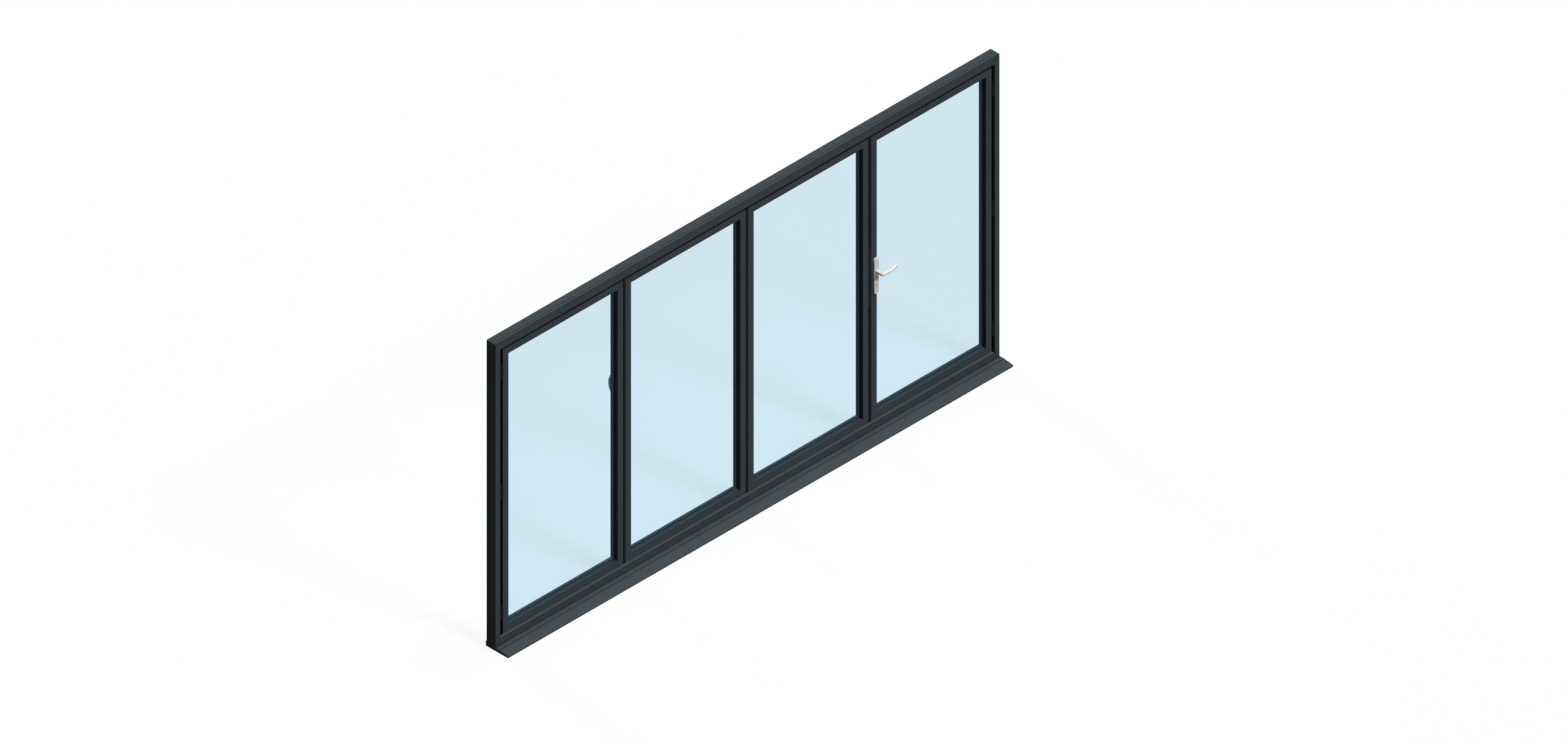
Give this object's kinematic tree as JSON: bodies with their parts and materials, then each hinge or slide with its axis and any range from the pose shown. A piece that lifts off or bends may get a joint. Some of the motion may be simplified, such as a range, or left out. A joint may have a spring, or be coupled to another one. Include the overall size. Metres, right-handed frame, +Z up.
{
  "type": "bifold glass patio door set",
  "caption": "Closed folding patio door in a mitred aluminium frame with a sloping cill; the end leaf is a hinged traffic door with a sprung lever.",
  "frame": {"origin": "middle of the cill's flat underside, on the middle plane of the outer frame's depth", "axes": "+X to the right seen from outside, along the door's width; +Y from outside to inside; +Z up"},
  "size_m": [4.007, 0.2283, 2.1],
  "materials": {
    "frame_coat": "anthracite matt polyester powder coat on extruded aluminium",
    "leaf_coat": "anthracite matt polyester powder coat on extruded aluminium",
    "cill_coat": "anthracite matt polyester powder coat on extruded aluminium",
    "glass": "clear float glass, sealed double unit",
    "spacer": "black warm-edge spacer bar",
    "rubber": "matt black extruded rubber",
    "satin_hardware": "satin silver anodised",
    "steel": "brushed stainless steel and nickel",
    "dark_hardware": "anthracite powder coat",
    "moulded_trim": "moulded, coloured to match the frame"
  },
  "bodies": {
    "frame": {"bottom_guide": "steel", "cill": "cill_coat", "cill_end_caps": "moulded_trim", "door_hinges_frame_side": "dark_hardware", "frame_corner_plugs": "moulded_trim", "glass_1": "glass", "glass_2": "glass", "glass_3": "glass", "glazing_beads_folding": "leaf_coat", "glazing_seals_folding": "rubber", "head": "frame_coat", "inside_fold_hinges": "dark_hardware", "inside_pull": "dark_hardware", "jamb_hinges": "dark_hardware", "jamb_left": "frame_coat", "jamb_right": "frame_coat", "leaf_1_rail_bottom": "leaf_coat", "leaf_1_rail_top": "leaf_coat", "leaf_1_stile_left": "leaf_coat", "leaf_1_stile_right": "leaf_coat", "leaf_2_rail_bottom": "leaf_coat", "leaf_2_rail_top": "leaf_coat", "leaf_2_stile_left": "leaf_coat", "leaf_2_stile_right": "leaf_coat", "leaf_3_rail_bottom": "leaf_coat", "leaf_3_rail_top": "leaf_coat", "leaf_3_stile_left": "leaf_coat", "leaf_3_stile_right": "leaf_coat", "lock_keep": "steel", "meeting_seals": "rubber", "outside_fold_hinges": "dark_hardware", "roller_carriage": "steel", "spacer_bars_folding": "spacer", "stop_seal": "rubber", "threshold": "frame_coat", "weather_stops": "frame_coat"},
    "traffic_door": {"door_hinges_leaf_side": "dark_hardware", "door_meeting_seal": "rubber", "glass_4": "glass", "glazing_beads_door": "leaf_coat", "glazing_seals_door": "rubber", "handle_plate_inside": "satin_hardware", "handle_plate_outside": "satin_hardware", "leaf_4_rail_bottom": "leaf_coat", "leaf_4_rail_top": "leaf_coat", "leaf_4_stile_left": "leaf_coat", "leaf_4_stile_right": "leaf_coat", "lock_cylinder": "steel", "lock_faceplate": "steel", "spacer_bar_door": "spacer"},
    "lever": {"lever_inside": "satin_hardware", "lever_outside": "satin_hardware", "spindle": "steel"}
  },
  "joints": [
    {"name": "traffic_door_hinge", "type": "hinge", "parent": "frame", "child": "traffic_door", "pos_m": [1.95025, -0.028, 1.0615], "axis": [0, 0, 1], "range_deg": [0, 90]},
    {"name": "lever_turn", "type": "hinge", "parent": "traffic_door", "child": "lever", "pos_m": [1.0165, -0.045, 1.1045], "axis": [0, 1, 0], "range_deg": [0, 40], "stiffness_Nm_per_rad": 1.2, "springref_deg": -34.38}
  ]
}
